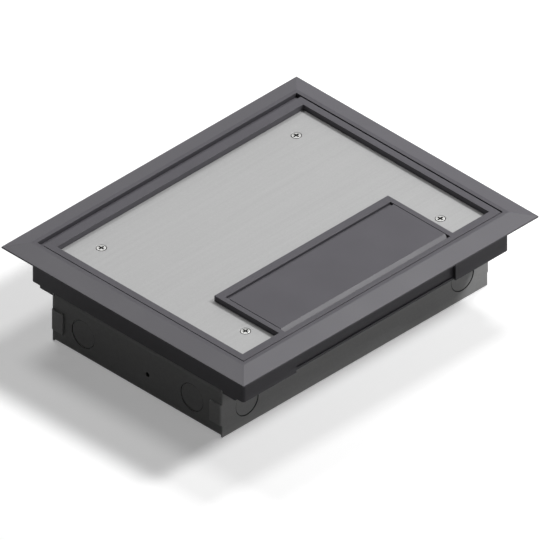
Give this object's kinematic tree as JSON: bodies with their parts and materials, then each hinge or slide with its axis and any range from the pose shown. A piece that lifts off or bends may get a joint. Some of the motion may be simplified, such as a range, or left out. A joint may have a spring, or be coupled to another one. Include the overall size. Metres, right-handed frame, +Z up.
{
  "type": "floor socket box",
  "caption": "Recessed floor box with a bevelled trim frame, a hinged lid with a sunk steel plate and a cable flap, over a steel box with switched sockets and data outlets.",
  "frame": {"origin": "centre of the face that the steel box stands on, under the middle of the trim", "axes": "+X along the long side, +Y towards the lid hinge, +Z up"},
  "size_m": [0.334, 0.274, 0.0835],
  "materials": {
    "galvanised_steel": "galvanised sheet, matt",
    "zinc_steel": "bright zinc plate",
    "dark_plastic": "fine moulded texture",
    "white_plastic": "smooth, slightly glossy",
    "brass": "turned",
    "rubber": "matt"
  },
  "bodies": {
    "housing": {"box_wrapper": "galvanised_steel", "side_plate_front": "galvanised_steel", "side_plate_rear": "galvanised_steel", "knockout_discs": "galvanised_steel", "plate_rail_front": "galvanised_steel", "plate_rail_rear": "galvanised_steel", "divider_left": "galvanised_steel", "divider_right": "galvanised_steel", "socket_plate_left": "galvanised_steel", "socket_plate_middle": "galvanised_steel", "data_plate": "galvanised_steel", "frame_screws": "zinc_steel", "plate_screws": "zinc_steel", "hinge_pins": "zinc_steel", "trim_frame": "dark_plastic", "twin_socket_left": "white_plastic", "twin_socket_middle": "white_plastic", "data_modules": "white_plastic", "socket_terminals": "brass", "earth_stud": "brass", "earth_nut": "brass", "lid_seal": "rubber"},
    "lid": {"lid_frame": "dark_plastic", "lid_plate": "galvanised_steel", "lid_screws": "zinc_steel"},
    "flap": {"cable_flap": "dark_plastic", "flap_pin": "zinc_steel"},
    "rocker_left_1": {"rocker_left_1": "white_plastic"},
    "rocker_left_2": {"rocker_left_2": "white_plastic"},
    "rocker_middle_1": {"rocker_middle_1": "white_plastic"},
    "rocker_middle_2": {"rocker_middle_2": "white_plastic"},
    "clamp_screw_1": {"clamp_screw_1": "zinc_steel"},
    "clamp_jaw_1": {"clamp_jaw_1": "galvanised_steel"},
    "clamp_screw_2": {"clamp_screw_2": "zinc_steel"},
    "clamp_jaw_2": {"clamp_jaw_2": "galvanised_steel"},
    "clamp_screw_3": {"clamp_screw_3": "zinc_steel"},
    "clamp_jaw_3": {"clamp_jaw_3": "galvanised_steel"},
    "clamp_screw_4": {"clamp_screw_4": "zinc_steel"},
    "clamp_jaw_4": {"clamp_jaw_4": "galvanised_steel"}
  },
  "joints": [
    {"name": "lid_hinge", "type": "hinge", "parent": "housing", "child": "lid", "pos_m": [0, 0.10825, 0.0785], "axis": [-1, 0, 0], "range_deg": [0, 110]},
    {"name": "flap_hinge", "type": "hinge", "parent": "lid", "child": "flap", "pos_m": [0, -0.04875, 0.0804], "axis": [-1, 0, 0], "range_deg": [0, 105]},
    {"name": "rocker_left_1_switch", "type": "hinge", "parent": "housing", "child": "rocker_left_1", "pos_m": [-0.105, 0, 0.0375], "axis": [1, 0, 0], "range_deg": [0, 14]},
    {"name": "rocker_left_2_switch", "type": "hinge", "parent": "housing", "child": "rocker_left_2", "pos_m": [-0.081, 0, 0.0375], "axis": [1, 0, 0], "range_deg": [0, 14]},
    {"name": "rocker_middle_1_switch", "type": "hinge", "parent": "housing", "child": "rocker_middle_1", "pos_m": [-0.012, 0, 0.0375], "axis": [1, 0, 0], "range_deg": [0, 14]},
    {"name": "rocker_middle_2_switch", "type": "hinge", "parent": "housing", "child": "rocker_middle_2", "pos_m": [0.012, 0, 0.0375], "axis": [1, 0, 0], "range_deg": [0, 14]},
    {"name": "clamp_turn_1", "type": "hinge", "parent": "housing", "child": "clamp_screw_1", "pos_m": [-0.075, -0.1013, 0.046], "axis": [0, 0, -1], "range_deg": [0, 90]},
    {"name": "clamp_lift_1", "type": "slide", "parent": "clamp_screw_1", "child": "clamp_jaw_1", "axis": [0, 0, 1], "range_m": [0, 0.0036]},
    {"name": "clamp_turn_2", "type": "hinge", "parent": "housing", "child": "clamp_screw_2", "pos_m": [0.075, -0.1013, 0.046], "axis": [0, 0, -1], "range_deg": [0, 90]},
    {"name": "clamp_lift_2", "type": "slide", "parent": "clamp_screw_2", "child": "clamp_jaw_2", "axis": [0, 0, 1], "range_m": [0, 0.0036]},
    {"name": "clamp_turn_3", "type": "hinge", "parent": "housing", "child": "clamp_screw_3", "pos_m": [0.075, 0.1013, 0.046], "axis": [0, 0, -1], "range_deg": [0, 90]},
    {"name": "clamp_lift_3", "type": "slide", "parent": "clamp_screw_3", "child": "clamp_jaw_3", "axis": [0, 0, 1], "range_m": [0, 0.0036]},
    {"name": "clamp_turn_4", "type": "hinge", "parent": "housing", "child": "clamp_screw_4", "pos_m": [-0.075, 0.1013, 0.046], "axis": [0, 0, -1], "range_deg": [0, 90]},
    {"name": "clamp_lift_4", "type": "slide", "parent": "clamp_screw_4", "child": "clamp_jaw_4", "axis": [0, 0, 1], "range_m": [0, 0.0036]}
  ]
}
